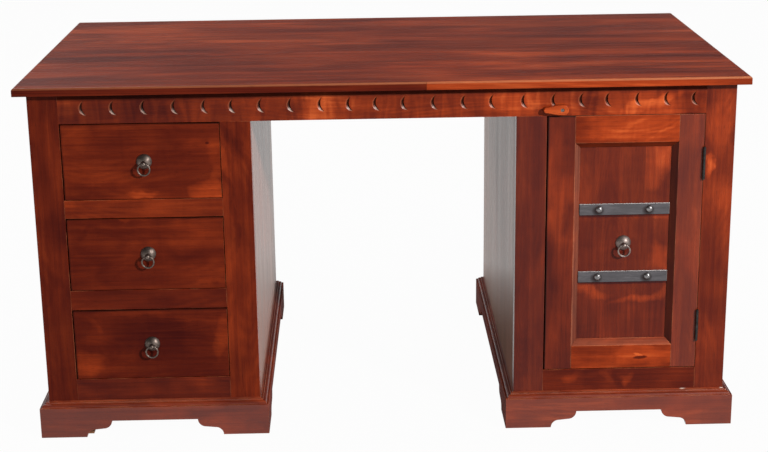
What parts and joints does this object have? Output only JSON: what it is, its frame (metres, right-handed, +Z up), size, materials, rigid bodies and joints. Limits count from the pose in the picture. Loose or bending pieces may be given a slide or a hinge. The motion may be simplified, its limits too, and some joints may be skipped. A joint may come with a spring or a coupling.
{
  "type": "kneehole writing desk",
  "caption": "Solid wood kneehole desk with drawers in the left pedestal, a cupboard in the right one, bracket-foot plinths, iron straps and ring pulls.",
  "frame": {"origin": "on the floor below the middle of the worktop, the bounding box's bottom centre", "axes": "+X to the sitter's right along the desk, -Y towards the sitter, +Z up"},
  "size_m": [1.5, 0.8, 0.768],
  "materials": {
    "lacquered_wood": "red-brown satin lacquer",
    "inner_wood": "thin stain, unpolished",
    "iron": "dark waxed iron",
    "steel": "dull steel"
  },
  "bodies": {
    "carcass": {"desk_top": "lacquered_wood", "front_apron": "lacquered_wood", "rear_apron": "lacquered_wood", "left_outer_post": "lacquered_wood", "left_inner_post": "lacquered_wood", "left_outer_side": "lacquered_wood", "left_inner_side": "lacquered_wood", "left_front_plinth": "lacquered_wood", "left_inner_plinth": "lacquered_wood", "left_back_plinth": "lacquered_wood", "left_outer_plinth": "lacquered_wood", "right_outer_post": "lacquered_wood", "right_inner_post": "lacquered_wood", "right_outer_side": "lacquered_wood", "right_inner_side": "lacquered_wood", "right_front_plinth": "lacquered_wood", "right_inner_plinth": "lacquered_wood", "right_back_plinth": "lacquered_wood", "right_outer_plinth": "lacquered_wood", "back_panels": "inner_wood", "floor_boards": "inner_wood", "bottom_rails": "lacquered_wood", "drawer_rails": "lacquered_wood", "drawer_runners": "inner_wood", "cupboard_shelf": "inner_wood", "cleats": "inner_wood", "foot_blocks": "inner_wood", "hinge_post_leaves": "iron", "hinge_pins": "steel", "latch_screw": "steel"},
    "top_drawer": {"top_drawer_front": "lacquered_wood", "top_drawer_sides": "inner_wood", "top_drawer_back": "inner_wood", "top_drawer_bottom": "inner_wood", "top_drawer_pull": "iron"},
    "top_drawer_ring": {"top_drawer_ring": "iron"},
    "middle_drawer": {"middle_drawer_front": "lacquered_wood", "middle_drawer_sides": "inner_wood", "middle_drawer_back": "inner_wood", "middle_drawer_bottom": "inner_wood", "middle_drawer_pull": "iron"},
    "middle_drawer_ring": {"middle_drawer_ring": "iron"},
    "bottom_drawer": {"bottom_drawer_front": "lacquered_wood", "bottom_drawer_sides": "inner_wood", "bottom_drawer_back": "inner_wood", "bottom_drawer_bottom": "inner_wood", "bottom_drawer_pull": "iron"},
    "bottom_drawer_ring": {"bottom_drawer_ring": "iron"},
    "door": {"door_left_stile": "lacquered_wood", "door_right_stile": "lacquered_wood", "door_bottom_rail": "lacquered_wood", "door_top_rail": "lacquered_wood", "door_panel": "lacquered_wood", "door_straps": "iron", "door_studs": "iron", "door_pull": "iron", "hinge_door_leaves": "iron"},
    "door_ring": {"door_ring": "iron"},
    "latch": {"latch_button": "lacquered_wood"}
  },
  "joints": [
    {"name": "top_drawer_slide", "type": "slide", "parent": "carcass", "child": "top_drawer", "axis": [0, -1, 0], "range_m": [0, 0.45]},
    {"name": "top_drawer_ring_swing", "type": "hinge", "parent": "top_drawer", "child": "top_drawer_ring", "pos_m": [-0.494, -0.3885, 0.6038], "axis": [-1, 0, 0], "range_deg": [-20, 200]},
    {"name": "middle_drawer_slide", "type": "slide", "parent": "carcass", "child": "middle_drawer", "axis": [0, -1, 0], "range_m": [0, 0.45]},
    {"name": "middle_drawer_ring_swing", "type": "hinge", "parent": "middle_drawer", "child": "middle_drawer_ring", "pos_m": [-0.496, -0.3885, 0.4038], "axis": [-1, 0, 0], "range_deg": [-20, 200]},
    {"name": "bottom_drawer_slide", "type": "slide", "parent": "carcass", "child": "bottom_drawer", "axis": [0, -1, 0], "range_m": [0, 0.45]},
    {"name": "bottom_drawer_ring_swing", "type": "hinge", "parent": "bottom_drawer", "child": "bottom_drawer_ring", "pos_m": [-0.498, -0.3885, 0.2028], "axis": [-1, 0, 0], "range_deg": [-20, 200]},
    {"name": "door_hinge", "type": "hinge", "parent": "carcass", "child": "door", "pos_m": [0.6635, -0.3784, 0.4], "axis": [0, 0, 1], "range_deg": [0, 170]},
    {"name": "door_ring_swing", "type": "hinge", "parent": "door", "child": "door_ring", "pos_m": [0.5025, -0.3755, 0.4048], "axis": [-1, 0, 0], "range_deg": [-20, 200]},
    {"name": "latch_turn", "type": "hinge", "parent": "carcass", "child": "latch", "pos_m": [0.366, -0.3754, 0.7015], "axis": [0, -1, 0], "continuous": true}
  ]
}
